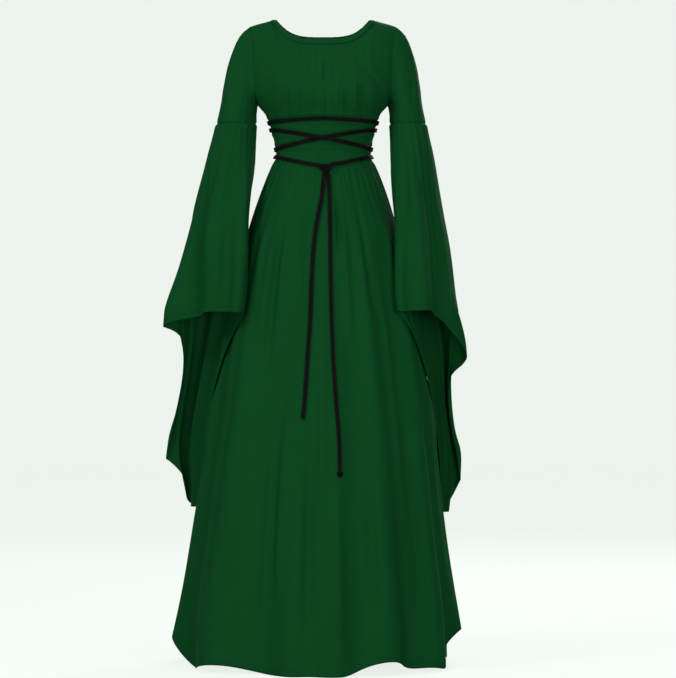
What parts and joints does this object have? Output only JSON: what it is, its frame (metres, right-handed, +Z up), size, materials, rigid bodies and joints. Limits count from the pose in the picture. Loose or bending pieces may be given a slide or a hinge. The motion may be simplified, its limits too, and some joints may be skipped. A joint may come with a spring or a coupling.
{
  "type": "medieval gown",
  "caption": "Floor-length gathered gown with a wide shallow neckline, long trumpet sleeves and a flat braided lace wound round the waist and knotted at the front, in its worn form.",
  "frame": {"origin": "midway between the two shoulder seams at the neck points, where the wearer's shoulders hold the gown", "axes": "+Z up, -Y the front of the gown, +X the wearer's left"},
  "size_m": [0.6781, 0.6257, 1.4469],
  "materials": {
    "gown_cloth": "fine crinkled plain-weave cloth, dark green, soft sheen",
    "braided_lace": "flat round-edged braid, near black with a brown middle"
  },
  "bodies": {
    "root": {"bodice_front": "gown_cloth", "bodice_back": "gown_cloth", "skirt_front": "gown_cloth", "skirt_back": "gown_cloth", "upper_sleeve_left": "gown_cloth", "upper_sleeve_right": "gown_cloth", "flare_sleeve_left": "gown_cloth", "flare_sleeve_right": "gown_cloth", "neck_casing": "gown_cloth", "lace_wrap_left": "braided_lace", "lace_wrap_right": "braided_lace", "lace_knot": "braided_lace", "lace_tail_left": "braided_lace", "lace_tail_right": "braided_lace", "lace_end_knot": "braided_lace"}
  },
  "joints": []
}
